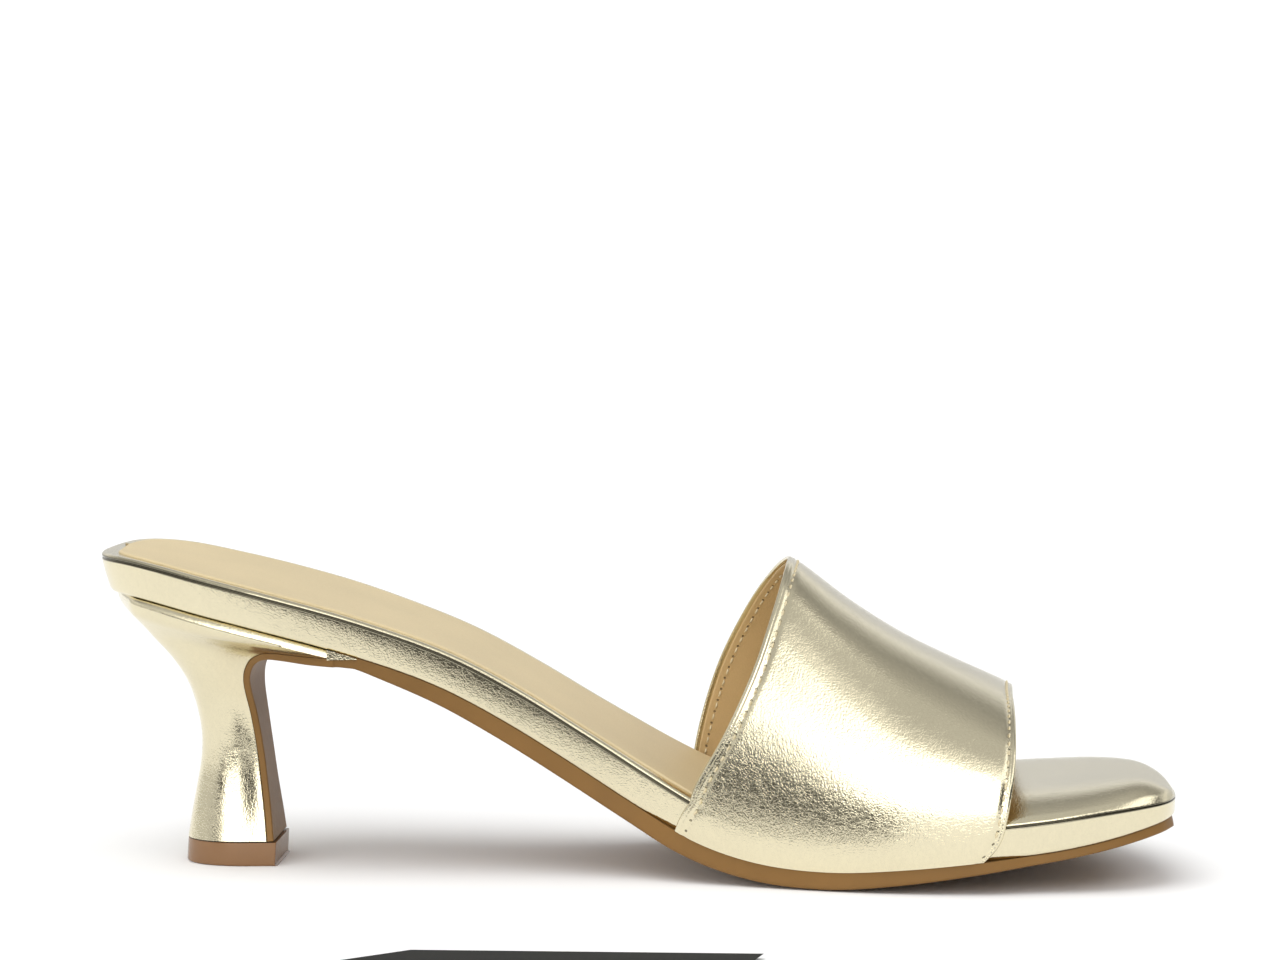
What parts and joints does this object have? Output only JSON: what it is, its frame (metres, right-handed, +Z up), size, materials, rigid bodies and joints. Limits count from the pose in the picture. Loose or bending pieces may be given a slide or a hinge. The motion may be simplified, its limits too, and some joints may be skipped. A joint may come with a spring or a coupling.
{
  "type": "slip-on sandal",
  "caption": "Left slip-on sandal with one wide metallic leather band over the forefoot, an open square toe, an arched waist and a waisted block heel.",
  "frame": {"origin": "on the floor, under the middle of the shoe's box", "axes": "+X to the toe, +Y to the outer side of the foot, +Z up"},
  "size_m": [0.2285, 0.0814, 0.0679],
  "materials": {
    "gold_leather": "smooth metallic gold leather with a fine grain",
    "tan_lining": "matte tan leather lining and sock",
    "sole_brown": "satin brown sole",
    "lift_brown": "semi-gloss brown top lift"
  },
  "bodies": {
    "root": {"outsole": "sole_brown", "footbed": "gold_leather", "insock": "tan_lining", "upper_band": "gold_leather", "heel": "gold_leather", "top_lift": "lift_brown"}
  },
  "joints": []
}
